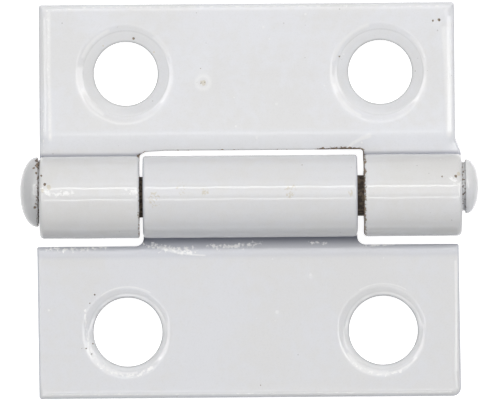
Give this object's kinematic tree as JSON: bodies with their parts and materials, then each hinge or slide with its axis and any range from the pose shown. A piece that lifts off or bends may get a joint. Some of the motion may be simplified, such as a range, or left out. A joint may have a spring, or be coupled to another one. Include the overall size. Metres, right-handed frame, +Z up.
{
  "type": "cabinet butt hinge",
  "caption": "Small white enamelled steel butt hinge, laid open flat: stamped leaves with rolled knuckles on a headed pin, and shallow round screw seats.",
  "frame": {"origin": "on the plane that both leaves screw down on, under the middle of the barrel, so the barrel's back stands 0.4 mm below it", "axes": "+X along the pin towards its smaller head; +Y from the pin across the leaf with the outer knuckles; +Z up from the screw-down plane towards the screw heads and the barrel"},
  "size_m": [0.0276, 0.0237, 0.0049],
  "materials": {
    "leaf_enamel": "white enamel, glossy, with small chips and specks",
    "pin_steel": "white enamel on the heads, bare brown-grey steel between the knuckles"
  },
  "bodies": {
    "pinned_leaf": {"two_knuckle_leaf": "leaf_enamel", "hinge_pin": "pin_steel"},
    "swinging_leaf": {"centre_knuckle_leaf": "leaf_enamel"}
  },
  "joints": [
    {"name": "leaf_swing", "type": "hinge", "parent": "pinned_leaf", "child": "swinging_leaf", "pos_m": [0, 0, 0.00208], "axis": [-1, 0, 0], "range_deg": [-97, 187]}
  ]
}
